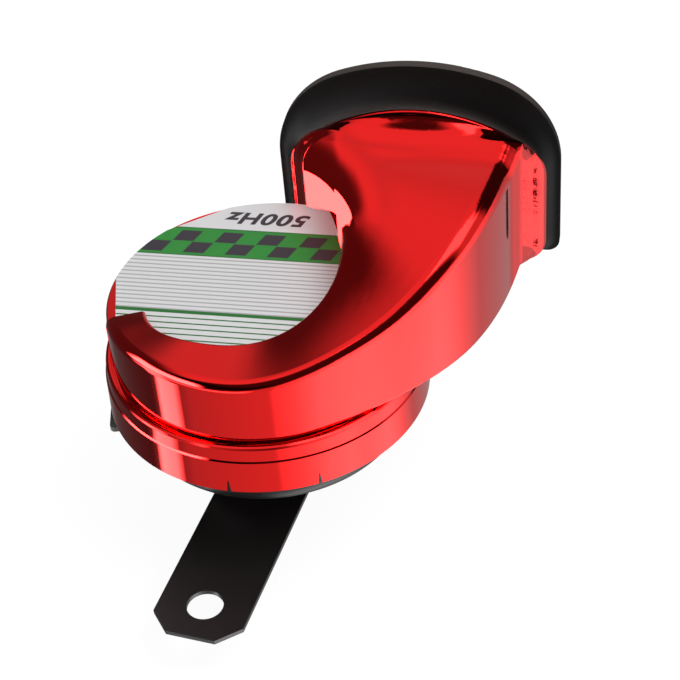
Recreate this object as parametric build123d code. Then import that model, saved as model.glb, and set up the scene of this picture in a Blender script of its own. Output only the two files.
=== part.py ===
from build123d import *
from math import atan2, cos, pi, radians, sin, sqrt
import os

os.makedirs("parts", exist_ok=True)

# Electromagnetic disc horn with a moulded spiral duct ("snail") and a flared mouth.
# Built about the disc axis (+Z up, z = 0 at the bead line of the crimp ring) and
# moved at the end, so that the bracket hole is the origin. Millimetres.

# ---- crimp ring -------------------------------------------------------------
ring_r = 40.0            # outer radius at the bead line
ring_draw_in = 0.45      # how much narrower it is under the top lip
ring_skirt_flare = 0.3   # how much wider it is at the open bottom edge
ring_top_z = 4.1
ring_bottom_z = -9.2
ring_sheet = 0.8
ring_lip = 1.15          # how far the top lip turns inwards
slit_width = 1.3
slit_height = 3.2
slit_angles = (-105, -74, 75, 106)

# ---- clamped stack inside the ring -------------------------------------------
stack_gap = 0.15         # radial gap between the ring and the stack
gasket_thick = 0.4
diaphragm_thick = 0.4
clamp_width = 5.5        # radial width of the clamped rim
cup_sheet = 1.2
dish_depth = 1.2         # the diaphragm's hub sits this far below its rim

# ---- spiral housing ------------------------------------------------------------
flange_z = 0.9           # underside of the housing's clamp flange
disc_top_z = 18.0        # the flat face that carries the label
disc_setback = 2.55      # the disc's foot stands this far inside the ring's bead line
disc_draft = 0.15        # how much narrower the disc is at its face
wall = 2.0               # moulded wall
floor_z = 4.45           # underside of the duct, clear of the ring's lip
deck_z = 4.4             # seat of the floor plate
duct_start_deg = -170.0  # where the raised duct begins
duct_proud = 0.2         # the duct's outer wall stands this far out from the disc's foot
leave_deg = -67.0        # where the outer wall leaves the disc
start_width = 9.8        # duct width at its start
duct_end_z = 39.7        # roof of the duct where it meets the collar
duct_roof = ((0.0, 19.8), (0.14, 22.0), (0.34, 22.0), (0.46, 24.8), (0.55, 27.4),
             (0.66, 33.3), (0.78, 38.5), (0.86, 40.0))  # (share of the length, height)
duct_crown = 600.0       # the duct's roof is all but flat
duct_inner_round = 11.0  # corner radii at the mouth end
duct_outer_round = 5.1
duct_low_round = 1.6
duct_floor_slope = 0.103 # the floor sinks outwards, once it is past the ring
ring_pass = 0.3          # the floor clears the ring up to this far outside it
throat_r = 5.0
channel_width = 6.0      # hidden channel from the throat to the duct

# ---- mouth ---------------------------------------------------------------------
mouth_turn = 13.0        # the mouth's normal, degrees from +Y towards +X
mouth_face = 50.8        # distance of the lip's front face from the disc axis
crease_depth = 13.0      # the duct ends this far behind the front face
collar_depth = 7.0       # the red collar ends this far behind it
throat_left, throat_right = 4.2, 59.1     # duct walls at the crease, across the mouth
collar_left, collar_right = -0.4, 65.3    # collar edge
collar_top, collar_bottom = 43.9, -0.5
collar_crown = 46.0      # radius of the collar's domed top
collar_corner = 10.0
collar_low_corner = 6.0
bezel_left, bezel_right = -3.8, 68.5      # lip of the bezel
bezel_top, bezel_bottom = 54.0, -0.5
bezel_crown = 57.6
bezel_corner = 25.3
bezel_low_corner = 3.3
bezel_wall = 2.2
lip_thick = 3.3
lip_round = 0.9
spigot_depth = 3.0
spigot_wall = 1.4
spigot_gap = 0.3
bezel_inset = 0.6        # the bezel's root lies this far inside the collar's edge

# ---- rear cup, stud and bracket --------------------------------------------------
cup_setback = 4.5        # the cup's wall stands this far inside the ring's bead line
cup_step_z = -19.8
cup_step_fillet = 6.0
well_r = 21.5
well_z = -31.9
well_fillet = 3.0
stud_r = 4.0             # M8
stud_end_z = -51.0
nut_flats = 13.0
jam_nut_height = 4.0
nut_height = 6.5
washer_r = 8.0
washer_thick = 1.6
spring_washer_thick = 2.0
bracket_thick = 1.2
bracket_width = 23.1
bracket_turn = -111.07   # direction of the bracket from the stud
hole_reach = 53.4        # stud axis to the bolt hole
end_margin = 10.0        # from the bolt hole's centre to the bracket's end
hole_r = 4.5
end_chamfer = 5.3

# ---- magnet, armature and breaker --------------------------------------------------
armature_r = 14.0
armature_thick = 5.0
air_gap = 0.8
core_r = 7.0
neck_r = 3.0
hub_clearance = 0.1
bobbin_top_z = -13.0
bobbin_r = 15.5
bobbin_wall = 1.0
label_thick = 0.25
label_cuts = ((115, 35.9), (182, 34.9))   # straight cuts: direction, distance from the axis
label_edge_r = 85.6      # round cut that keeps the label off the duct's wall
label_edge_centre = (-65.0, 12.0)
blade_width = 6.3
blade_thick = 0.8

# ---- derived sizes -------------------------------------------------------------------
ring_top_r = ring_r - ring_draw_in
ring_skirt_r = ring_r + ring_skirt_flare
disc_foot_r = ring_r - disc_setback
disc_r = disc_foot_r - disc_draft
duct_r = disc_foot_r + duct_proud
cup_r = ring_r - cup_setback
stack_r = ring_top_r - ring_sheet - stack_gap
lip_inner_r = ring_top_r - ring_lip
flange_top_z = ring_top_z - ring_sheet
gasket_z = flange_z - gasket_thick
diaphragm_z = gasket_z - diaphragm_thick
lower_gasket_z = diaphragm_z - gasket_thick
cup_flange_z = lower_gasket_z - cup_sheet
clamp_r = stack_r - clamp_width
step_floor_z = cup_step_z + cup_sheet
well_floor_z = well_z + cup_sheet
bracket_top_z = well_z - jam_nut_height
end_reach = hole_reach + end_margin
washer_z = bracket_top_z - bracket_thick - washer_thick
spring_z = washer_z - spring_washer_thick
nut_z = spring_z - nut_height
hub_z = diaphragm_z - dish_depth
armature_z = hub_z - armature_thick
core_top_z = armature_z - air_gap

turn = radians(mouth_turn)
across = Vector(cos(turn), -sin(turn), 0)
forward = Vector(sin(turn), cos(turn), 0)
bracket_dir = Vector(cos(radians(bracket_turn)), sin(radians(bracket_turn)), 0)
hole_centre = bracket_dir * hole_reach
to_origin = Pos(-hole_centre.X, -hole_centre.Y, -bracket_top_z)

nodes = {}


def smooth(low, high, value):
    """0 before low, 1 after high and an even S between them."""
    t = min(max((value - low) / (high - low), 0.0), 1.0)
    return t * t * (3 - 2 * t)


def through(points, x):
    """The height at x of a smooth curve through (x, height) points."""
    xs, ys = zip(*points)
    i = max(k for k in range(len(xs) - 1) if x >= xs[k] or k == 0)
    steps = [(ys[k + 1] - ys[k]) / (xs[k + 1] - xs[k]) for k in range(len(xs) - 1)]
    slopes = [steps[0]] + [(a + b) / 2 for a, b in zip(steps, steps[1:])] + [steps[-1]]
    span = xs[i + 1] - xs[i]
    t = (x - xs[i]) / span
    return (ys[i] * (1 + 2 * t) * (1 - t) ** 2 + ys[i + 1] * t * t * (3 - 2 * t)
            + span * t * (1 - t) * (slopes[i] * (1 - t) - slopes[i + 1] * t))


def polar(radius, angle):
    return Vector(radius * cos(radians(angle)), radius * sin(radians(angle)), 0)


def tube(outer, inner, bottom, top):
    return Pos(0, 0, bottom) * extrude(Circle(outer) - Circle(inner), top - bottom)


def rod(radius, bottom, top, x=0.0, y=0.0):
    return Pos(x, y, bottom) * extrude(Circle(radius), top - bottom)


def slab(x0, x1, y0, y1, bottom, top):
    size = (x1 - x0, y1 - y0, top - bottom)
    return Pos(x0, y0, bottom) * Box(*size, align=(Align.MIN, Align.MIN, Align.MIN))


def turned(points):
    """A solid of revolution about the disc axis from (radius, height) corners."""
    return revolve(Plane.XZ * make_face(Polyline(*points, close=True)), Axis.Z)


def arch(plane, left, right, bottom, top, crown, corners, slope=0.0):
    """A closed D-shaped section: flat floor, upright sides and a crowned top.

    corners holds the radii top left, top right, bottom left and bottom right;
    the floor starts at bottom on the left and sinks by slope to the right.
    """
    top_left, top_right, low_left, low_right = corners
    middle = (left + right) / 2
    crown_z = top - crown

    def shoulder(radius, side, sign):
        cx = side - sign * radius
        cz = crown_z + sqrt((crown - radius) ** 2 - (cx - middle) ** 2)
        lean = atan2(cz - crown_z, cx - middle)
        start = 0.0 if sign > 0 else pi
        half = (start + lean) / 2
        spots = [(cx + radius * cos(a), cz + radius * sin(a)) for a in (start, half, lean)]
        return spots

    def foot(radius, side, sign):
        lean = atan2(slope, 1)
        cx = side - sign * radius
        cz = bottom - slope * (cx - left) + radius / cos(lean)
        start = 0.0 if sign > 0 else -pi
        low = -pi / 2 - lean
        return [(cx + radius * cos(a), cz + radius * sin(a)) for a in (start, (start + low) / 2, low)]

    r0, r1, r2 = shoulder(top_right, right, 1)
    l0, l1, l2 = shoulder(top_left, left, -1)
    f0, f1, f2 = foot(low_right, right, 1)
    g0, g1, g2 = foot(low_left, left, -1)
    edges = [
        Line(g2, f2),
        ThreePointArc(f2, f1, f0),
        Line(f0, r0),
        ThreePointArc(r0, r1, r2),
        ThreePointArc(r2, (middle, top), l2),
        ThreePointArc(l2, l1, l0),
        Line(l0, g0),
        ThreePointArc(g0, g1, g2),
    ]
    return plane * make_face(edges)


def upright(origin, direction):
    """A vertical work plane whose x runs along direction and whose y is up."""
    return Plane(origin=origin, x_dir=direction, z_dir=direction.cross(Vector(0, 0, 1)))


def mouth_plane(depth):
    """The plane across the mouth, depth behind the front face of the lip."""
    return upright(forward * (mouth_face - depth), across)


# ---- spiral duct ----------------------------------------------------------------
crease_outer = across * throat_right + forward * (mouth_face - crease_depth)
crease_inner = across * throat_left + forward * (mouth_face - crease_depth)
leave_point = polar(duct_r, leave_deg)
leave_dir = polar(1, leave_deg + 90)
run = (crease_outer - leave_point).length
outer_path = Wire([
    CenterArc((0, 0), duct_r, duct_start_deg, leave_deg - duct_start_deg),
    Bezier(leave_point, leave_point + leave_dir * (0.367 * run),
           crease_outer - polar(1, 85 - mouth_turn) * (0.483 * run), crease_outer),
])
start_r = duct_r - start_width
inner_path = Wire([Spline(
    polar(start_r, duct_start_deg),
    polar(0.945 * start_r, -136),
    polar(0.80 * start_r, -98),
    polar(0.74 * start_r, -60),
    polar(0.71 * start_r, -30),
    polar(0.74 * start_r, 0),
    polar(0.85 * start_r, 28),
    crease_inner + across * 11.7 - forward * 14.9,
    crease_inner + across * 8.9 - forward * 7.0,
    crease_inner + across * 7.8 - forward * 3.6,
    crease_inner + across * 5.0 - forward * 1.6,
    crease_inner,
    tangents=(polar(1, duct_start_deg + 88), across * -0.9 + forward * 0.43),
)])
stations = 13
flare_steps = (0.12, 0.25, 0.4, 0.6, 0.8, 1.0)


def floor_line(inner, chord, slope):
    """Height of the sloping floor at its inner end; it stays over the ring's top."""
    along = inner.dot(chord)
    reach = (ring_r + ring_pass) ** 2 - inner.dot(inner) + along ** 2
    return floor_z + slope * max(sqrt(max(reach, 0.0)) - along, 0.0)


def duct_section(share, inset):
    """The duct's section at a share of its length; inset makes the bore."""
    inner = inner_path @ share
    outer = outer_path @ share
    chord = (outer - inner).normalized()
    width = (outer - inner).length
    top = through(duct_roof + ((1.0, duct_end_z),), share)
    low = 0.8 + (duct_low_round - 0.8) * smooth(0.8, 1.0, share)
    corners = (
        1.0 + (duct_inner_round - 1.0) * smooth(0.5, 1.0, share),
        2.5 + (duct_outer_round - 2.5) * smooth(0.45, 1.0, share),
        low,
        low,
    )
    corners = tuple(max(r - inset, 0.5) for r in corners)
    slope = duct_floor_slope * smooth(0.56, 0.75, share)
    bottom = floor_line(inner, chord, slope) + inset * (1 - slope)
    return arch(upright(inner, chord), inset, width - inset, bottom, top - inset,
                duct_crown, corners, slope)


def mouth_section(depth, grow, inset):
    """Between the duct's end (grow 0) and the collar's edge (grow 1)."""
    def between(a, b):
        return a + (b - a) * grow
    left = between(throat_left, collar_left) + inset
    right = between(throat_right, collar_right) - inset
    slope = between(duct_floor_slope, 0.0)
    crease_floor = floor_line(crease_inner, across, duct_floor_slope)
    bottom = between(crease_floor, collar_bottom) + inset * (1 - slope)
    top = between(duct_end_z, collar_top) - inset
    crown = 1 / between(1 / duct_crown, 1 / collar_crown) - inset
    corners = (between(duct_inner_round, collar_corner), between(duct_outer_round, collar_corner),
               between(duct_low_round, collar_low_corner), between(duct_low_round, collar_low_corner))
    return arch(mouth_plane(depth), left, right, bottom, top, crown,
                tuple(max(r - inset, 0.5) for r in corners), slope)


def collar_growth(t):
    """A hollow fillet for the first 0.4 of the way, then a straight flare."""
    bend = 0.4
    rise = t * t / (2 * bend) if t < bend else t - bend / 2
    return rise / (1 - bend / 2)


def horn_body(inset, start=0.0, run_out=0.0):
    """Duct and collar as one body; with an inset it is the bore, run out past the edge."""
    length = crease_depth - collar_depth
    shares = [start + (1 - start) * i / (stations - 1) for i in range(stations)]
    steps = flare_steps + ((1 + run_out / length,) if run_out else ())
    sections = [duct_section(share, inset) for share in shares]
    sections += [mouth_section(crease_depth - t * length, collar_growth(t), inset) for t in steps]
    return loft(sections)


disc_edge = 0.35
disc_body = turned([
    (0, flange_z), (stack_r, flange_z), (stack_r, flange_top_z), (disc_foot_r, flange_top_z),
    (disc_r, disc_top_z - disc_edge), (disc_r - disc_edge, disc_top_z), (0, disc_top_z),
])
# The hidden channel winds out of the throat in one turn and meets the duct's start.
channel_end = duct_start_deg + 360
channel_start_mid = throat_r + 0.35 * channel_width
channel_end_mid = start_r + start_width / 2


def channel_wall(offset):
    """One side of the channel: an even spiral, offset from its centre line."""
    turns = [channel_end * i / 6 for i in range(7)]
    growth = (channel_end_mid - channel_start_mid) / channel_end
    return Spline(*[polar(channel_start_mid + growth * a + offset, a) for a in turns])


def channel_face(margin):
    outside = channel_wall(channel_width / 2 + margin)
    inside = channel_wall(-channel_width / 2 - margin)
    band = make_face([outside, inside, Line(outside @ 0, inside @ 0), Line(outside @ 1, inside @ 1)])
    return band + Circle(throat_r + margin)


channel_top = disc_top_z - wall
room_r = clamp_r - 1.2
room = rod(room_r, flange_z - 1, channel_top)
channel_block = Pos(0, 0, deck_z) * extrude(channel_face(wall), channel_top + wall / 2 - deck_z)
channel_bore = Pos(0, 0, deck_z - 1) * extrude(channel_face(0.0), channel_top - deck_z + 1)
link = Rot(0, 0, duct_start_deg) * slab(
    channel_end_mid - channel_width / 2, channel_end_mid + channel_width / 2, -3.0, 4.0,
    floor_z + wall, channel_top)
bore = horn_body(wall, start=0.015, run_out=1.0)
horn_outside = horn_body(0.0)
housing = disc_body - room + channel_block + horn_outside
housing = housing - bore - channel_bore - link
housing -= rod(clamp_r, flange_z - 1, deck_z)
nodes["snail_housing"] = housing

# The plate that closes the housing's underside, with the throat in its middle.
plate_r = clamp_r - 0.1
floor_plate = tube(plate_r, throat_r, deck_z - 1.8, deck_z)
floor_plate += tube(throat_r + 1.5, throat_r, deck_z - 2.4, deck_z - 1.8)
nodes["duct_floor_plate"] = floor_plate

# ---- mouth bezel -------------------------------------------------------------------
def bezel_section(depth, grow, inset):
    """From the collar's edge (grow 0) to the lip (grow 1)."""
    def between(a, b):
        return a + (b - a) * grow
    left = between(collar_left + bezel_inset, bezel_left) + inset
    right = between(collar_right - bezel_inset, bezel_right) - inset
    bottom = between(collar_bottom + bezel_inset, bezel_bottom) + inset
    top = between(collar_top - bezel_inset, bezel_top) - inset
    crown = between(collar_crown - bezel_inset, bezel_crown) - inset
    high = between(collar_corner - bezel_inset, bezel_corner) - inset
    low = between(collar_low_corner - bezel_inset, bezel_low_corner) - inset
    high, low = max(high, 1.0), max(low, 1.0)
    return arch(mouth_plane(depth), left, right, bottom, top, crown, (high, high, low, low))


def flare(first_depth, last_depth, first_inset, last_inset):
    """A trumpet flare, steepest at the lip."""
    sections = []
    for t in (0.0, 0.25, 0.5, 0.72, 0.9, 1.0):
        grow = 1 - sqrt(1 - t ** 1.6)
        depth = first_depth + (last_depth - first_depth) * t
        sections.append(bezel_section(depth, grow, first_inset + (last_inset - first_inset) * grow))
    return loft(sections)


def collar_tube(inset, depth):
    """The space inside the collar, from its edge back by depth."""
    length = crease_depth - collar_depth
    return loft([mouth_section(collar_depth + depth * t, collar_growth(1 - depth * t / length), inset)
                 for t in (0.0, 0.33, 0.66, 1.0)])


lip = extrude(bezel_section(lip_thick, 1.0, 0.0), lip_thick, dir=forward)
lip = fillet(lip.edges().filter_by(lambda e: e.length > 5), lip_round)
bezel = flare(collar_depth, lip_thick, 0.0, 0.0) + lip
bezel += collar_tube(wall + spigot_gap, spigot_depth)
inner = wall + spigot_gap + spigot_wall
inner_root = inner - bezel_inset
root_depth = collar_depth - bezel_wall
rim_depth = lip_thick - bezel_wall
bell = collar_tube(inner, spigot_depth + 0.5)
bell += extrude(bezel_section(collar_depth, 0.0, inner_root), bezel_wall, dir=forward)
bell += flare(root_depth, rim_depth, inner_root, bezel_wall)
bell += extrude(bezel_section(rim_depth, 1.0, bezel_wall), rim_depth + 1, dir=forward)
nodes["mouth_bezel"] = bezel - bell

# ---- face label -----------------------------------------------------------------------
label_r = disc_r - disc_edge - 0.05
label_face = Circle(label_r)
for direction, distance in label_cuts:
    beyond = Rectangle(label_r, 4 * label_r, align=(Align.MIN, Align.CENTER))
    label_face -= Rot(0, 0, direction) * Pos(distance, 0) * beyond
label_face &= Pos(*label_edge_centre) * Circle(label_edge_r)
label = Pos(0, 0, disc_top_z) * extrude(label_face, label_thick)
nodes["face_label"] = label - horn_outside

# ---- crimp ring --------------------------------------------------------------------------
bead = 0.2
ring = turned([
    (ring_skirt_r, ring_bottom_z), (ring_r + bead / 2, -bead), (ring_r - bead, bead),
    (ring_top_r, ring_top_z - 0.7), (ring_top_r - 0.2, ring_top_z - 0.2),
    (ring_top_r - 0.7, ring_top_z), (lip_inner_r, ring_top_z),
    (lip_inner_r, flange_top_z), (stack_r + stack_gap, flange_top_z),
    (stack_r + stack_gap, 0), (ring_skirt_r - ring_sheet, ring_bottom_z),
])
for angle in slit_angles:
    slit = make_face(Polyline((-slit_width / 2, -1), (slit_width / 2, -1),
                              (0.15, slit_height), (-0.15, slit_height), close=True))
    cut = extrude(Plane.YZ * slit, 6, both=True)
    ring -= Rot(0, 0, angle) * Pos(ring_r, 0, ring_bottom_z) * cut
nodes["crimp_ring"] = ring

# ---- gaskets and diaphragm -----------------------------------------------------------------
nodes["upper_gasket"] = tube(stack_r, clamp_r, gasket_z, flange_z)
nodes["lower_gasket"] = tube(stack_r, clamp_r, lower_gasket_z, diaphragm_z)
hub_r = neck_r + hub_clearance
slope_r = clamp_r - 2.0
hub_flat_r = armature_r + 1.5
nodes["diaphragm"] = turned([
    (hub_r, hub_z), (hub_flat_r, hub_z), (slope_r, diaphragm_z), (stack_r, diaphragm_z),
    (stack_r, gasket_z), (slope_r, gasket_z), (hub_flat_r, hub_z + diaphragm_thick),
    (hub_r, hub_z + diaphragm_thick),
])

# ---- rear cup ------------------------------------------------------------------------------
cup = tube(stack_r, cup_r - cup_sheet, cup_flange_z, lower_gasket_z)
shell = rod(cup_r, cup_step_z, cup_flange_z)
shell = fillet(shell.edges().group_by(Axis.Z)[0], cup_step_fillet)
well = rod(well_r, well_z, cup_step_z + 2)
well = fillet(well.edges().group_by(Axis.Z)[0], well_fillet)
room = rod(cup_r - cup_sheet, step_floor_z, lower_gasket_z + 1)
room = fillet(room.edges().group_by(Axis.Z)[0], cup_step_fillet - cup_sheet)
well_room = rod(well_r - cup_sheet, well_floor_z, step_floor_z + 2)
well_room = fillet(well_room.edges().group_by(Axis.Z)[0], well_fillet - cup_sheet)
cup = cup + shell + well - room - well_room
cup -= rod(stud_r + 0.1, well_z - 1, well_floor_z + 1)

# ---- terminal plate and blades ----------------------------------------------------------------
plate_left, plate_right = -42.0, -21.5
plate_front, plate_back = -1.8, 16.2
plate_thick = 1.5
blade_x = -31.0
blade_drop = 9.8
rivet_x = -24.8
rivet_r = 1.6
rivet_head_r = 2.2
plate_z = cup_step_z - plate_thick
blade_rows = (plate_front + 4.0, plate_back - 5.2)
terminal_plate = slab(plate_left, plate_right, plate_front, plate_back, plate_z, cup_step_z)
terminal_plate -= rod(well_r + 0.2, plate_z - 1, cup_step_z + 1)
terminal_plate = fillet(terminal_plate.edges().filter_by(Axis.Z).group_by(Axis.X)[0], 1.2)
for number, row in enumerate(blade_rows, start=1):
    foot = slab(blade_x, rivet_x + 2.4, row - blade_width / 2, row + blade_width / 2,
                plate_z - blade_thick, plate_z)
    drop = slab(blade_x, blade_x + blade_thick, row - blade_width / 2, row + blade_width / 2,
                plate_z - blade_thick - blade_drop, plate_z)
    tip = drop.edges().filter_by(Axis.X).group_by(Axis.Z)[0]
    blade = foot + chamfer(tip, 1.2)
    blade -= Pos(blade_x, row, plate_z - 7.5) * Rot(0, 90, 0) * Cylinder(0.9, 4)
    blade -= rod(rivet_r, plate_z - 2, plate_z + 1, rivet_x, row)
    nodes[f"terminal_blade_{number}"] = blade
    hole = rod(rivet_r, plate_z - 1, step_floor_z + 1, rivet_x, row)
    cup -= hole
    terminal_plate -= hole
    rivet = rod(rivet_r - 0.05, plate_z - blade_thick, step_floor_z, rivet_x, row)
    rivet += rod(rivet_head_r, plate_z - blade_thick - 0.9, plate_z - blade_thick, rivet_x, row)
    rivet += rod(rivet_head_r, step_floor_z, step_floor_z + 0.9, rivet_x, row)
    nodes[f"terminal_rivet_{number}"] = rivet
nodes["terminal_plate"] = terminal_plate

# ---- magnet ------------------------------------------------------------------------------------
core = rod(core_r, well_floor_z, core_top_z)
core -= rod(stud_r + 0.05, well_floor_z - 1, well_floor_z + 12)
nodes["pole_core"] = core
bobbin = tube(bobbin_r, core_r + 0.15, well_floor_z, bobbin_top_z)
bobbin -= tube(bobbin_r + 1, core_r + 0.15 + bobbin_wall, well_floor_z + bobbin_wall,
               bobbin_top_z - bobbin_wall)
nodes["coil_bobbin"] = bobbin
nodes["coil_winding"] = tube(bobbin_r - 0.8, core_r + 0.2 + bobbin_wall,
                             well_floor_z + bobbin_wall + 0.05, bobbin_top_z - bobbin_wall - 0.05)
armature = rod(armature_r, armature_z, hub_z)
armature = chamfer(armature.edges().group_by(Axis.Z)[0], 0.6)
neck_top = hub_z + diaphragm_thick + 2.6
armature += rod(neck_r, hub_z, neck_top)
nodes["armature"] = armature
nodes["armature_washer"] = tube(5.5, neck_r + 0.05, hub_z + diaphragm_thick, hub_z + diaphragm_thick + 0.8)
hub_nut = extrude(RegularPolygon(4.6, 6) - Circle(neck_r + 0.02), 1.6)
nodes["armature_nut"] = Pos(0, 0, hub_z + diaphragm_thick + 0.8) * hub_nut

# ---- breaker: a sprung arm under a fixed contact, clamped in one stack ------------------------------
stack_x0, stack_x1 = well_r + 0.3, well_r + 7.3
half_strip = 3.0
strip = 0.6
pad = 0.8
contact_r = 1.6
contact_thick = 0.9
contact_x = 17.0
button_r = 1.8
button_gap = 0.3
pin_r = 1.3
pin_x = (stack_x0 + stack_x1) / 2
base_top = step_floor_z + 5.4
arm_z = base_top + pad
arm_top = arm_z + strip
strip_z = arm_top + 2 * contact_thick
strip_top = strip_z + strip
arm_tip = core_r + 3.5
button_x = arm_tip + button_r + 0.2


def breaker_layer(x0, x1, bottom, top, half=half_strip):
    return slab(x0, x1, -half, half, bottom, top) - rod(pin_r + 0.05, bottom - 1, top + 1, pin_x, 0)


nodes["breaker_base"] = breaker_layer(stack_x0, stack_x1, step_floor_z, base_top, half_strip + 1)
nodes["breaker_insulator_lower"] = breaker_layer(stack_x0, stack_x1, base_top, arm_z)
nodes["breaker_arm"] = breaker_layer(arm_tip, stack_x1, arm_z, arm_top)
nodes["moving_contact"] = rod(contact_r, arm_top, arm_top + contact_thick, contact_x, 0)
nodes["breaker_button"] = rod(button_r, arm_top, armature_z - button_gap, button_x, 0)
nodes["breaker_insulator_upper"] = breaker_layer(stack_x0, stack_x1, arm_top, strip_z)
nodes["fixed_contact"] = rod(contact_r, arm_top + contact_thick, strip_z, contact_x, 0)
nodes["fixed_contact_strip"] = breaker_layer(contact_x - contact_r - 0.3, stack_x1, strip_z, strip_top)
nodes["breaker_clamp_plate"] = breaker_layer(stack_x0, stack_x1, strip_top, strip_top + pad)
breaker_rivet = rod(pin_r, cup_step_z, strip_top + pad, pin_x, 0)
breaker_rivet += rod(2.2, strip_top + pad, strip_top + pad + 0.7, pin_x, 0)
breaker_rivet += rod(2.2, cup_step_z - 0.7, cup_step_z, pin_x, 0)
nodes["breaker_rivet"] = breaker_rivet
cup -= rod(pin_r + 0.05, cup_step_z - 1, step_floor_z + 1, pin_x, 0)

# ---- tuning screw in the step of the cup -----------------------------------------------------------
screw_x, screw_y = 0.0, 26.0
screw = rod(2.0, cup_step_z - 2.0, step_floor_z + 4.0, screw_x, screw_y)
screw += rod(3.4, cup_step_z - 4.0, cup_step_z - 2.0, screw_x, screw_y)
screw -= slab(-0.5, 0.5, screw_y - 4, screw_y + 4, cup_step_z - 5, cup_step_z - 3.0)
nodes["tuning_screw"] = screw
tuning_nut = extrude(RegularPolygon(4.0, 6) - Circle(2.02), 2.0)
nodes["tuning_nut"] = Pos(screw_x, screw_y, cup_step_z - 2.0) * tuning_nut
cup -= rod(2.05, cup_step_z - 1, step_floor_z + 1, screw_x, screw_y)
nodes["rear_cup"] = cup

# ---- stud, nuts, washers and bracket ------------------------------------------------------------------
stud = rod(stud_r, stud_end_z, well_floor_z + 11.5)
stud = chamfer(stud.edges().group_by(Axis.Z)[0], 0.8)
nodes["mounting_stud"] = stud


def hex_nut(height, bottom):
    body = extrude(RegularPolygon(nut_flats / 2, 6, major_radius=False), height)
    cone = Pos(0, 0, height / 2) * Cylinder(nut_flats / 2 * 1.09, height)
    cone = chamfer(cone.edges().filter_by(GeomType.CIRCLE), 0.6)
    return Pos(0, 0, bottom) * ((body & cone) - Pos(0, 0, -1) * extrude(Circle(stud_r + 0.02), height + 2))


nodes["jam_nut"] = hex_nut(jam_nut_height, bracket_top_z)
nodes["flat_washer"] = tube(washer_r, stud_r + 0.2, washer_z, washer_z + washer_thick)
spring_washer = tube(7.3, stud_r + 0.1, spring_z, washer_z)
spring_washer -= Rot(0, 0, 40) * slab(stud_r, 9, -0.4, 0.4, spring_z - 1, washer_z + 1)
nodes["spring_washer"] = spring_washer
nodes["clamp_nut"] = hex_nut(nut_height, nut_z)

half_width = bracket_width / 2
strap = Pos(end_reach / 2, 0) * Rectangle(end_reach, bracket_width) + Circle(half_width)
corners = strap.vertices().group_by(Axis.X)[-1]
strap = chamfer(corners, end_chamfer)
strap -= Circle(stud_r + 0.3)
strap -= Pos(hole_reach, 0) * Circle(hole_r)
bracket = extrude(strap, bracket_thick)
nodes["mounting_bracket"] = Pos(0, 0, bracket_top_z - bracket_thick) * Rot(0, 0, bracket_turn) * bracket

for name, shape in nodes.items():
    export_step(to_origin * shape, f"parts/{name}.step")
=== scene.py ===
import bpy
import math
from mathutils import Matrix, Vector


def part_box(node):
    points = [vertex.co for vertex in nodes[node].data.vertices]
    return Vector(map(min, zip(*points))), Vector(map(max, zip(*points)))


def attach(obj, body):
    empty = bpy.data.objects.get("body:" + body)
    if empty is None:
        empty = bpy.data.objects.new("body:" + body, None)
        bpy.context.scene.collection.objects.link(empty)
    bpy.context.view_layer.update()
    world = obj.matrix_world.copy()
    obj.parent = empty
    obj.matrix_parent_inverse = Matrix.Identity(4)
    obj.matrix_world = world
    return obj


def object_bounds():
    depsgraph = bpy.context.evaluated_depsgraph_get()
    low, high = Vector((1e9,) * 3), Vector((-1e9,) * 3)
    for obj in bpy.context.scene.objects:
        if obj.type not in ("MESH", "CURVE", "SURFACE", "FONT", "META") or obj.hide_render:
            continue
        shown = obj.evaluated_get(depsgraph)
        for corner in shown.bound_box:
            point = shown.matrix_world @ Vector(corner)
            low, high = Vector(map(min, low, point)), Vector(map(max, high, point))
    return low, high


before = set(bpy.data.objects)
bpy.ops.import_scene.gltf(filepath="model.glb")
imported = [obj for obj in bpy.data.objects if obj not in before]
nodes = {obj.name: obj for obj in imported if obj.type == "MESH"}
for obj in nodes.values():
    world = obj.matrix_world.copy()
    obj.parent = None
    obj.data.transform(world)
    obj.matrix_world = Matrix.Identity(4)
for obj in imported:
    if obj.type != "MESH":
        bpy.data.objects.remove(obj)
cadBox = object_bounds()
scene = bpy.context.scene
mm = 0.001
discAxis = (19.199, 49.830)  # where the axis of the disc stands, mm
print("frame loaded:", len(nodes), "nodes")


class Val:
    # wraps a socket, so that plain sums build the maths nodes
    def __init__(self, tree, socket):
        self.tree, self.socket = tree, socket

    def build(self, operation, *values):
        node = self.tree.nodes.new("ShaderNodeMath")
        node.operation = operation
        for spot, value in zip(node.inputs, values):
            if isinstance(value, Val):
                self.tree.links.new(value.socket, spot)
            else:
                spot.default_value = value
        return Val(self.tree, node.outputs[0])

    def maths(self, operation, *others):
        return self.build(operation, self, *others)

    def __add__(self, other):
        return self.build("ADD", self, other)

    def __radd__(self, other):
        return self.build("ADD", other, self)

    def __sub__(self, other):
        return self.build("SUBTRACT", self, other)

    def __rsub__(self, other):
        return self.build("SUBTRACT", other, self)

    def __mul__(self, other):
        return self.build("MULTIPLY", self, other)

    def __rmul__(self, other):
        return self.build("MULTIPLY", other, self)

    def __truediv__(self, other):
        return self.build("DIVIDE", self, other)

    def __rtruediv__(self, other):
        return self.build("DIVIDE", other, self)

    def __mod__(self, other):
        return self.build("FLOORED_MODULO", self, other)

    def __pow__(self, other):
        return self.build("POWER", self, other)

    def __lt__(self, other):
        return self.build("LESS_THAN", self, other)

    def __gt__(self, other):
        return self.build("GREATER_THAN", self, other)


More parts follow.
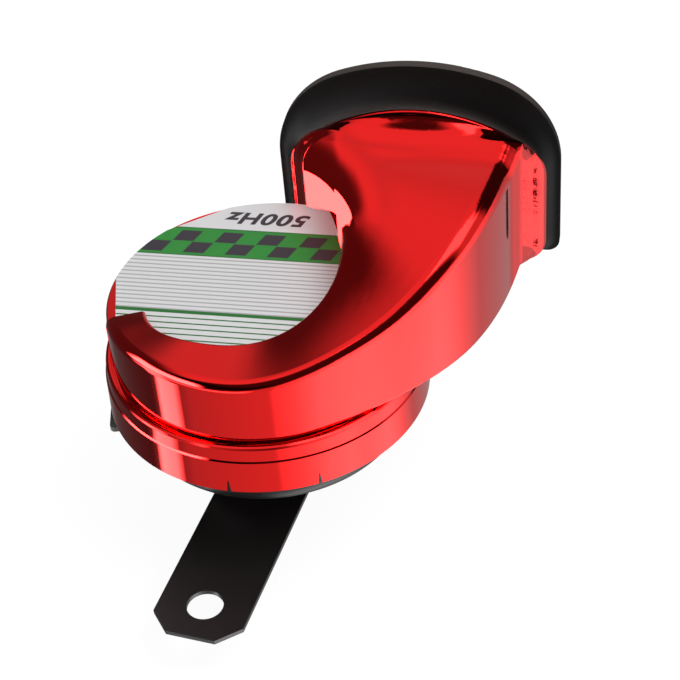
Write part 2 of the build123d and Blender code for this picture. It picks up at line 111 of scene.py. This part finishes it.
class Paint:
    # one material or world, and the one way to add any other node to it
    def __init__(self, owner):
        owner.use_nodes = True
        self.owner, self.tree = owner, owner.node_tree
        self.tree.nodes.clear()

    def node(self, kind, settings=None, inputs=None, output=0):
        node = self.tree.nodes.new(kind)
        for name, value in (settings or {}).items():
            if name == "stops":
                self.fillRamp(node.color_ramp.elements, value)
            else:
                setattr(node, name, value)
        for name, value in (inputs or {}).items():
            if isinstance(value, Val):
                self.tree.links.new(value.socket, node.inputs[name])
            else:
                node.inputs[name].default_value = value
        return Val(self.tree, node.outputs[output])

    def fillRamp(self, elements, stops):
        while len(elements) < len(stops):
            elements.new(0.5)
        for element, (position, level) in zip(elements, stops):
            element.position = position
            element.color = (level, level, level, 1)

    def place(self):
        return self.node("ShaderNodeTexCoord", output="Object")

    def noise(self, place, scale, detail=3.0):
        return self.node("ShaderNodeTexNoise", {}, {"Vector": place, "Scale": scale, "Detail": detail})

    def mix(self, factor, first, second):
        return self.node("ShaderNodeMix", {"data_type": "RGBA"}, {0: factor, 6: first, 7: second}, 2)

    def blend(self, factor, first, second):  # the same between two directions
        return self.node("ShaderNodeMix", {"data_type": "VECTOR"}, {0: factor, 4: first, 5: second}, 1)

    def vector(self, operation, *values, output=0):
        return self.node("ShaderNodeVectorMath", {"operation": operation}, dict(enumerate(values)), output)

    def join(self, x, y, z):
        return self.node("ShaderNodeCombineXYZ", {}, {0: x, 1: y, 2: z})

    def axes(self, place):
        return [self.node("ShaderNodeSeparateXYZ", {}, {"Vector": place}, i) for i in range(3)]

    def upright(self):  # 1 where the surface faces up, 0 where it stands
        return self.axes(self.node("ShaderNodeNewGeometry", output="Normal"))[2]

    def between(self, value, low, high):
        return (value > low) * (value < high)

    def ease(self, value, low, high):
        return self.node("ShaderNodeMapRange", {"interpolation_type": "SMOOTHSTEP"}, {
            "Value": value, "From Min": low, "From Max": high})

    def span(self, value, start, full, fade, end):
        return self.ease(value, start, full) * (1 - self.ease(value, fade, end))

    def surface(self, shader, kind="ShaderNodeOutputMaterial"):
        end = self.tree.nodes.new(kind)
        self.tree.links.new(shader.socket, end.inputs["Surface"])


def paintFor(name):
    return Paint(bpy.data.materials.new(name))


def opaque(colour):
    return (*colour, 1)


def principled(paint, look, **links):
    values = {"Base Color": opaque(look["colour"]), "Metallic": look.get("metal", 0.0), "Roughness": look["rough"]}
    if "gloss" in look:
        values["Specular IOR Level"] = look["gloss"]
    if "coat" in look:
        values["Coat Weight"] = look["coat"]
        values["Coat Roughness"] = look["coatRough"]
    values.update(links)
    paint.surface(paint.node("ShaderNodeBsdfPrincipled", {}, values))
    return paint.owner


# what a finish has where it names nothing else: grain and cloud are noise scales, relief is in metres
usual = {"grain": 900.0, "bump": 0.1, "relief": 0.0002, "cloud": 60.0, "cloudDetail": 2.0, "smudge": 0.1}

looks = {
    "redPlating": {
        "colour": (0.80, 0.0185, 0.0175), "metal": 1.0, "rough": 0.055,
        "grain": 260.0, "bump": 0.01, "smudge": 0.02},
    "blackMoulding": {
        "colour": (0.0035, 0.0032, 0.0032), "rough": 0.46, "gloss": 0.05, "grain": 1500, "bump": 0.12,
        # the second colour here is a painted sheen, lighter where the moulding faces up, standing in for light from
        # above
        "paintedSheen": (0.052, 0.043, 0.040), "paintedSheenFrom": (0.35, 0.9)},
    "cupEnamel": {"colour": (0.007, 0.0065, 0.006), "rough": 0.4, "gloss": 0.2, "grain": 700},
    "strapEnamel": {"colour": (0.010, 0.008, 0.008), "rough": 0.36, "gloss": 0.35, "grain": 1100, "bump": 0.15},
    "zinc": {
        "colour": (0.55, 0.56, 0.57), "metal": 1.0, "rough": 0.3,
        "grain": 2200, "bump": 0.1, "smudge": 0.2},
    "springSteel": {
        "colour": (0.42, 0.43, 0.44), "metal": 1.0, "rough": 0.28,
        "grain": 2600, "bump": 0.08, "smudge": 0.15},
    "softIron": {
        "colour": (0.33, 0.33, 0.34), "metal": 1.0, "rough": 0.42,
        "grain": 1800, "bump": 0.15, "smudge": 0.2},
    "brass": {
        "colour": (0.72, 0.55, 0.25), "metal": 1.0, "rough": 0.28,
        "grain": 2400, "bump": 0.1, "smudge": 0.2},
    "contactMetal": {"colour": (0.62, 0.60, 0.57), "metal": 1.0, "rough": 0.35, "grain": 4000, "bump": 0.15},
    "phenolic": {"colour": (0.09, 0.035, 0.015), "rough": 0.45, "grain": 1600, "bump": 0.15, "smudge": 0.2},
    "gasketBoard": {"colour": (0.10, 0.085, 0.07), "rough": 0.85, "grain": 3000, "bump": 0.4, "smudge": 0.15},
    "terminalBoard": {"colour": (0.03, 0.028, 0.026), "rough": 0.6, "grain": 2600, "bump": 0.2, "smudge": 0.2},
    "bobbinPlastic": {"colour": (0.55, 0.53, 0.48), "rough": 0.5, "grain": 1400, "bump": 0.1},
}
looks = {name: {**usual, **look} for name, look in looks.items()}


def smudged(paint, place, look):  # gloss that varies a little
    return look["rough"] + (paint.noise(place, look["cloud"], look["cloudDetail"]) - 0.5) * look["smudge"]


def finish(name, look):
    paint = paintFor(name)
    place = paint.place()
    links = {
        "Normal": paint.node("ShaderNodeBump", {}, {
            "Strength": look["bump"], "Distance": look["relief"], "Height": paint.noise(place, look["grain"])}),
        "Roughness": smudged(paint, place, look),
    }
    if "paintedSheen" in look:  # painted sheen: the colour turns lighter on what faces up, standing in for light falling from above
        links["Base Color"] = paint.mix(
            paint.ease(paint.upright(), *look["paintedSheenFrom"]), opaque(look["colour"]), opaque(look["paintedSheen"]))
    return principled(paint, look, **links)


made = {name: finish(name, look) for name, look in looks.items()}
print("plain finishes:", len(made))


def fromDiscAxis(paint, place):  # millimetres, from the axis of the disc
    x, y, z = paint.axes(place)
    return x / mm - discAxis[0], y / mm - discAxis[1], z / mm


def turned(x, y, degrees):  # works on numbers and on nodes
    cosine, sine = math.cos(math.radians(degrees)), math.sin(math.radians(degrees))
    return x * cosine - y * sine, x * sine + y * cosine


# plating of the housing: it rounds off the roof before the mouth, the hollow beside the label,
# the start of the duct and the outer corner of the collar; lengths in mm, angles in degrees
housingFlow = {
    "turn": 13.0,  # which way the mouth faces
    "slope": 0.30, "rise": (24.0, 7.5), "settle": (37.4, 2.4),  # start and length along the roof
    "hollowPoint": (6.7, 29.0, 56.3), "hollowAxis": (-0.0295, 0.8082, -0.5881), "hollowUp": (0.0843, 0.6441, 0.7603),
    "hollowTurn": -124, "hollowReach": (23.0, 29.0), "hollowAcross": (4.0, 4.8),
    "hollowAhead": (6.0, 13.0), "hollowStop": (37.5, 39.5),
    "wallTilt": 22, "wallEdge": (15.2, 15.9), "wallLean": 0.335, "wallAcross": (12.5, 16.0), "wallLift": 20,
    "shoulderTilt": 42, "shoulderEdge": (16.6, 25.0), "roofTilt": 9,
    "cornerWay": (-33, 88), "cornerAcross": (59.0, 59.9), "cornerAhead": (35.0, 38.0),
    "startLean": 0.10, "startX": (8.0, 32.0), "startUpright": (0.85, 0.97),
}


def plunge(value, start, length):
    # a slope that eases in over the length and then goes on
    step = (value - start) / length
    inside = step.maths("MAXIMUM", 0.0).maths("MINIMUM", 1.0)
    return (inside ** 3 - inside ** 4 * 0.5 + (step - 1).maths("MAXIMUM", 0.0)) * length


def heading(turn, tilt):
    flat, stand = math.sin(math.radians(tilt)), math.cos(math.radians(tilt))
    return (math.cos(math.radians(turn)) * flat, math.sin(math.radians(turn)) * flat, stand)


def hollowShape(paint, spot, ahead, across, flow):
    # where the hollow is, and the way its wall, shoulder and roof face
    arm = paint.vector("SUBTRACT", spot, flow["hollowPoint"])
    reach = paint.vector("LENGTH", paint.vector("CROSS_PRODUCT", arm, flow["hollowAxis"]), output=1)
    rise = paint.vector("DOT_PRODUCT", arm, flow["hollowUp"], output=1)
    roof = flow["roofTilt"] + (1 - paint.ease(across, *flow["wallAcross"])) * flow["wallLift"]
    tilt = roof + (1 - paint.ease(reach, *flow["shoulderEdge"])) * (flow["shoulderTilt"] - roof)
    tilt = tilt + (1 - paint.ease(reach + rise * flow["wallLean"], *flow["wallEdge"])) * flow["wallTilt"]
    tilt = tilt * (math.pi / 180)
    flat, stand = tilt.maths("SINE"), tilt.maths("COSINE")
    wayX, wayY, _ = heading(flow["hollowTurn"], 90)
    inside = (1 - paint.ease(reach, *flow["hollowReach"])) * paint.ease(across, *flow["hollowAcross"])
    inside = inside * paint.ease(ahead, *flow["hollowAhead"]) * (1 - paint.ease(ahead, *flow["hollowStop"]))
    return inside, paint.join(flat * wayX, flat * wayY, stand)


def paintHousing(look, flow):
    paint = paintFor("redPlatingHousing")
    place = paint.place()
    x, y, z = fromDiscAxis(paint, place)
    across, ahead = turned(x, y, flow["turn"])
    height = (plunge(ahead, *flow["rise"]) - plunge(ahead, *flow["settle"])) * (flow["slope"] * mm)
    normal = paint.node("ShaderNodeBump", {}, {"Strength": 1.0, "Distance": 1.0, "Height": height})
    inside, way = hollowShape(paint, paint.join(x, y, z), ahead, across, flow)
    normal = paint.blend(inside, normal, way)
    corner = paint.ease(across, *flow["cornerAcross"]) * paint.ease(ahead, *flow["cornerAhead"])
    normal = paint.blend(corner, normal, heading(*flow["cornerWay"]))
    lean = paint.ease(paint.upright(), *flow["startUpright"]) * (1 - paint.ease(x, *flow["startX"])) * flow["startLean"]
    normal = paint.vector("ADD", normal, paint.join(0 - lean, 0.0, 0.0))
    return principled(paint, look, **{
        "Normal": paint.vector("NORMALIZE", normal), "Roughness": smudged(paint, place, look)})


made["housingPlating"] = paintHousing(looks["redPlating"], housingFlow)
print("plating of the housing")


# printed label, in mm: one way runs along the print and the other over it, from the axis of the disc
labelPrint = {
    "turn": 13.4, "foil": (0.66, 0.66, 0.67), "grey": (0.36, 0.36, 0.37), "black": (0.018, 0.012, 0.02),
    "green": (0.010, 0.20, 0.018), "edgeGreen": (0.008, 0.13, 0.014),
    "band": (13.0, 24.6), "border": 0.5, "stripe": (-9.4, -8.2),
    "rowHigh": (18.9, 23.2), "rowLow": (14.2, 18.6),
    "checkStart": -25.1, "checkPeriod": 10.8, "checkWidth": 5.4, "slant": 0.364,
    "lineZone": (-8.2, 13.0), "linePitch": 1.53, "lineWidth": 0.45,
    "thinLines": (-11.0, -13.0, -15.0, -17.0, -19.0), "thinWidth": 0.45,
    "metal": 0.18, "bandInk": 0.9, "rough": 0.42, "cloud": 40.0, "cloudDetail": 2.0, "smudge": 0.1,
}


def paintLabel(look):
    paint = paintFor("printedFoil")
    place = paint.place()
    x, y, _ = fromDiscAxis(paint, place)
    along, over = turned(x, y, look["turn"])
    low, high = look["band"]
    band = paint.between(over, low, high)
    core = paint.between(over, low + look["border"], high - look["border"])
    # two rows of slanting checks, half a period apart
    leaning = along - over * look["slant"] - (look["checkStart"] - look["slant"] * look["rowHigh"][1])
    rowHigh = (leaning % look["checkPeriod"]) < look["checkWidth"]
    rowLow = ((leaning + look["checkWidth"]) % look["checkPeriod"]) < look["checkWidth"]
    checks = paint.between(over, *look["rowHigh"]) * rowHigh + paint.between(over, *look["rowLow"]) * rowLow
    ruled = ((over - look["lineZone"][0]) % look["linePitch"]) < look["lineWidth"]
    ruled = paint.between(over, *look["lineZone"]) * ruled
    green = paint.between(over, *look["stripe"])
    for line in look["thinLines"]:
        green = green + paint.between(over, line - look["thinWidth"] / 2, line + look["thinWidth"] / 2)
    colour = opaque(look["foil"])
    for mask, ink in ((ruled, "grey"), (green, "edgeGreen"), (band, "edgeGreen"), (core, "green"), (checks, "black")):
        colour = paint.mix(mask, colour, opaque(look[ink]))
    return principled(paint, {**look, "colour": look["foil"]}, **{
        "Base Color": colour, "Metallic": (1 - band * look["bandInk"]) * look["metal"],
        "Roughness": smudged(paint, place, look)})


made["printedFoil"] = paintLabel(labelPrint)
print("printed label")


# threads and wire: fine ribs wound round an upright axis, in mm; edge says how far inside the widest
# radius the ribs start and are full
ribs = {
    "studThread": {"look": "zinc", "node": "mounting_stud", "pitch": 1.25, "depth": 0.45, "edge": (0.9, 0.5)},
    "screwThread": {"look": "zinc", "node": "tuning_screw", "pitch": 0.8, "depth": 0.3, "edge": (0.9, 0.5)},
    "wireTurns": {"look": "copperWire", "node": "coil_winding", "pitch": 0.62, "depth": 0.25, "edge": (0.9, 0.5)},
}
looks["copperWire"] = {"colour": (0.62, 0.20, 0.07), "metal": 0.9, "rough": 0.32, "coat": 0.6, "coatRough": 0.03}


def ribbed(name, look, rib):
    paint = paintFor(name)
    x, y, z = paint.axes(paint.place())
    low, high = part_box(rib["node"])
    x, y = x - (low[0] + high[0]) / 2, y - (low[1] + high[1]) / 2
    turn = y.maths("ARCTAN2", x) / (2 * math.pi)
    wave = ((z / (rib["pitch"] * mm) + turn) * (2 * math.pi)).maths("SINE")
    radius = (high[0] - low[0]) / 2 / mm
    edge = paint.ease((x * x + y * y) ** 0.5 / mm, radius - rib["edge"][0], radius - rib["edge"][1])
    height = wave * edge * (rib["depth"] / 2 * mm)
    return principled(paint, look, **{
        "Normal": paint.node("ShaderNodeBump", {}, {"Strength": 1.0, "Distance": 1.0, "Height": height})})


for name, rib in ribs.items():
    made[name] = ribbed(name, looks[rib["look"]], rib)
print("threads and wire")

# which finish each solid wears
wears = {
    "housingPlating": ("snail_housing",),
    "redPlating": ("crimp_ring", "duct_floor_plate"),
    "blackMoulding": ("mouth_bezel",),
    "printedFoil": ("face_label",),
    "gasketBoard": ("upper_gasket", "lower_gasket"),
    "cupEnamel": ("rear_cup",),
    "strapEnamel": ("mounting_bracket",),
    "terminalBoard": ("terminal_plate",),
    "brass": (
        "terminal_blade_1", "terminal_blade_2", "terminal_rivet_1", "terminal_rivet_2",
        "fixed_contact_strip", "breaker_rivet"),
    "springSteel": ("diaphragm", "breaker_arm", "spring_washer"),
    "softIron": ("pole_core", "armature"),
    "bobbinPlastic": ("coil_bobbin",),
    "wireTurns": ("coil_winding",),
    "zinc": (
        "armature_washer", "armature_nut", "breaker_clamp_plate", "tuning_nut",
        "jam_nut", "flat_washer", "clamp_nut"),
    "phenolic": ("breaker_base", "breaker_insulator_lower", "breaker_insulator_upper", "breaker_button"),
    "contactMetal": ("moving_contact", "fixed_contact"),
    "screwThread": ("tuning_screw",),
    "studThread": ("mounting_stud",),
}
finishOf = {solid: name for name, solids in wears.items() for solid in solids}
for name, node in nodes.items():
    node.data.materials.clear()
    node.data.materials.append(made[finishOf[name]])
print("finishes on the solids")

# tone mark on the label, in mm along and over the print
toneMark = {
    "words": "500Hz", "start": 6.5, "baseline": 31.7, "height": 4.7, "width": 22.1,
    "lean": 0.28, "weight": 0.035, "spacing": 1.12, "lift": 0.02, "rough": 0.4,
}


def lettering(look):
    curve = bpy.data.curves.new("toneMark", "FONT")
    curve.body = look["words"]
    curve.shear = look["lean"]
    curve.offset = look["weight"]
    curve.space_character = look["spacing"]
    words = bpy.data.objects.new("toneMark", curve)
    scene.collection.objects.link(words)
    bpy.context.view_layer.update()
    mesh = bpy.data.meshes.new_from_object(words.evaluated_get(bpy.context.evaluated_depsgraph_get()))
    bpy.data.objects.remove(words)
    return mesh


def addToneMark(look):
    mesh = lettering(look)
    piece = bpy.data.objects.new("tone_mark", mesh)
    scene.collection.objects.link(piece)
    xs, ys = [vertex.co.x for vertex in mesh.vertices], [vertex.co.y for vertex in mesh.vertices]
    left, wide, tall = min(xs), max(xs) - min(xs), max(ys)
    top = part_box("face_label")[1][2] + look["lift"] * mm
    for vertex in mesh.vertices:
        along = look["start"] - (vertex.co.x - left) / wide * look["width"]
        over = look["baseline"] - vertex.co.y / tall * look["height"]
        x, y = turned(along, over, -labelPrint["turn"])
        vertex.co = Vector(((discAxis[0] + x) * mm, (discAxis[1] + y) * mm, top))
    ink = principled(paintFor("printInk"), {"colour": labelPrint["black"], "rough": look["rough"]})
    mesh.materials.append(ink)
    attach(piece, "horn")


addToneMark(toneMark)
print("tone mark on the label")

# camera: place in mm, tilts in degrees, clip in metres
view = {
    "place": (39.45, -292.58, 326.62), "elevation": 40.2707, "roll": -4.8357,
    "lens": 95.757, "sensor": 36, "shift": (-0.01128, 0.00249), "clip": (0.01, 20),
}
camera = bpy.data.objects.new("camera", bpy.data.cameras.new("camera"))
scene.collection.objects.link(camera)
camera.data.lens = view["lens"]
camera.data.sensor_width = view["sensor"]
camera.data.shift_x, camera.data.shift_y = view["shift"]
camera.data.clip_start, camera.data.clip_end = view["clip"]
camera.matrix_world = (
    Matrix.Translation([value * mm for value in view["place"]])
    @ Matrix.Rotation(math.radians(90 - view["elevation"]), 4, "X")
    @ Matrix.Rotation(math.radians(view["roll"]), 4, "Z"))
scene.camera = camera
print("camera set")

# floor: white paper to the eye with a faint shadow, and clear to mirrors
paperLook = {"size": 8.0, "paper": (0.8, 0.8, 0.8), "glow": 1.06, "glowShare": 0.88}


def addFloor(look):
    bottom = cadBox[0].z
    bpy.ops.mesh.primitive_plane_add(size=look["size"], location=(discAxis[0] * mm, discAxis[1] * mm, bottom))
    floor = bpy.context.object
    floor.name = "floor"
    paint = paintFor("floorPaper")
    seen = paint.node("ShaderNodeLightPath", output="Is Camera Ray")
    mirrored = paint.node("ShaderNodeLightPath", output="Is Glossy Ray")
    plain = paint.node("ShaderNodeBsdfDiffuse", {}, {"Color": opaque(look["paper"])})
    glow = paint.node("ShaderNodeEmission", {}, {"Color": (1, 1, 1, 1), "Strength": look["glow"]})
    clear = paint.node("ShaderNodeBsdfTransparent")
    lit = paint.node("ShaderNodeMixShader", {}, {0: seen * look["glowShare"], 1: plain, 2: glow})
    paint.surface(paint.node("ShaderNodeMixShader", {}, {0: mirrored, 1: lit, 2: clear}))
    floor.data.materials.append(paint.owner)
    return floor


floor = addFloor(paperLook)
print("floor laid")

# room: white to the eye and plain to matte surfaces; a mirror sees a dim roof, a panel over the object,
# a dark front and side, a card low on the left and, below the horizon, bright and dark cards all round
room = {
    "white": 1.0, "plain": 0.62, "horizon": (-0.06, 0.02),
    "back": 0.10, "backRight": 0.76, "backEdge": (-0.50, -0.14), "backLift": 0.9, "backLevel": 0.6,
    "overhead": 0.25, "overheadZ": (0.7, 0.95),
    "panel": 3.6, "panelX": (0.02, 0.10, 0.72, 0.82), "panelY": (-0.22, -0.12, 0.22, 0.34),
    "frontDark": 0.93, "frontY": (-0.34, -0.16), "frontZ": (0.08, 0.18),
    "sideDark": 0.96, "sideX": (0.30, 0.44), "sideY": (0.12, 0.26), "sideZ": (0.74, 0.84),
    "card": 18.0, "cardX": (-0.72, -0.60), "cardY": (-0.80, -0.70, 0.10, 0.30), "cardZ": (-0.08, 0.0, 0.42, 0.52),
    "strip": 3.6, "stripX": (-0.30, -0.16), "stripY": (0.0, 0.2), "stripZ": (-0.40, -0.34, -0.20, -0.12),
    "ringTop": 8,  # a ramp holds levels up to 1, so the ring's are shared out by this
    "ring": (
        (0.0, 0.55), (0.010, 6.0), (0.046, 6.0), (0.062, 0.36), (0.085, 0.58), (0.20, 0.78), (0.252, 0.86),
        (0.262, 1.4), (0.30, 2.2), (0.36, 4.6), (0.40, 5.2), (0.43, 4.2), (0.49, 3.4), (0.54, 1.2), (0.58, 0.62),
        (0.65, 0.45), (0.75, 0.35), (0.85, 0.10), (0.985, 0.08), (1.0, 0.2)),
}


def roofLevel(sky, x, y, z, look):
    right = sky.ease(x + (z - look["backLevel"]) * look["backLift"], *look["backEdge"])
    level = look["back"] + right * (look["backRight"] - look["back"])
    level = level + sky.ease(z, *look["overheadZ"]) * look["overhead"]
    level = level + sky.span(x, *look["panelX"]) * sky.span(y, *look["panelY"]) * look["panel"]
    front = (1 - sky.ease(y, *look["frontY"])) * sky.ease(z, *look["frontZ"])
    side = sky.ease(x, *look["sideX"]) * sky.ease(y, *look["sideY"]) * (1 - sky.ease(z, *look["sideZ"]))
    return level * (1 - front * look["frontDark"]) * (1 - side * look["sideDark"])


def ringLevel(sky, x, y, z, look):
    turn = y.maths("ARCTAN2", x) / (2 * math.pi) + 0.5
    stops = [(position, level / look["ringTop"]) for position, level in look["ring"]]
    level = sky.node("ShaderNodeValToRGB", {"stops": stops}, {"Fac": turn}) * look["ringTop"]
    strip = (1 - sky.ease(x, *look["stripX"])) * (1 - sky.ease(y, *look["stripY"])) * sky.span(z, *look["stripZ"])
    return level + strip * look["strip"]


def background(sky, strength):
    return sky.node("ShaderNodeBackground", {}, {"Color": (1, 1, 1, 1), "Strength": strength})


def paintRoom(look):
    world = bpy.data.worlds.new("studio")
    sky = Paint(world)
    x, y, z = sky.axes(sky.node("ShaderNodeTexCoord", output="Generated"))
    above = sky.ease(z, *look["horizon"])
    level = roofLevel(sky, x, y, z, look) * above + ringLevel(sky, x, y, z, look) * (1 - above)
    card = (1 - sky.ease(x, *look["cardX"])) * sky.span(y, *look["cardY"]) * sky.span(z, *look["cardZ"])
    level = level + card * look["card"]
    seen = sky.node("ShaderNodeLightPath", output="Is Camera Ray")
    # a mirror that lights a matte surface sees the plain room, so that it throws no spots of light
    direct = sky.node("ShaderNodeLightPath", output="Diffuse Depth") < 0.5
    mirrored = sky.node("ShaderNodeLightPath", output="Is Glossy Ray") * direct
    around = sky.node("ShaderNodeMixShader", {}, {
        0: mirrored, 1: background(sky, look["plain"]), 2: background(sky, level)})
    shown = sky.node("ShaderNodeMixShader", {}, {0: seen, 1: around, 2: background(sky, look["white"])})
    sky.surface(shown, "ShaderNodeOutputWorld")
    return world


scene.world = paintRoom(room)
print("room painted")

# one soft lamp, in metres and watts, that mirrors don't show
keyLamp = {"place": (0.55, -0.25, 1.1), "aimHeight": 0.02, "size": 0.7, "power": 9.0}


def addLamp(name, look):
    lamp = bpy.data.lights.new(name, "AREA")
    lamp.size, lamp.energy = look["size"], look["power"]
    piece = bpy.data.objects.new(name, lamp)
    scene.collection.objects.link(piece)
    spot = Vector(look["place"])
    aim = Vector((discAxis[0] * mm, discAxis[1] * mm, look["aimHeight"]))
    facing = (aim - spot).to_track_quat("-Z", "Y").to_matrix().to_4x4()
    piece.matrix_world = Matrix.Translation(spot) @ facing
    piece.visible_glossy = False


addLamp("key", keyLamp)
print("lamp hung")

scene.view_settings.view_transform = "Standard"
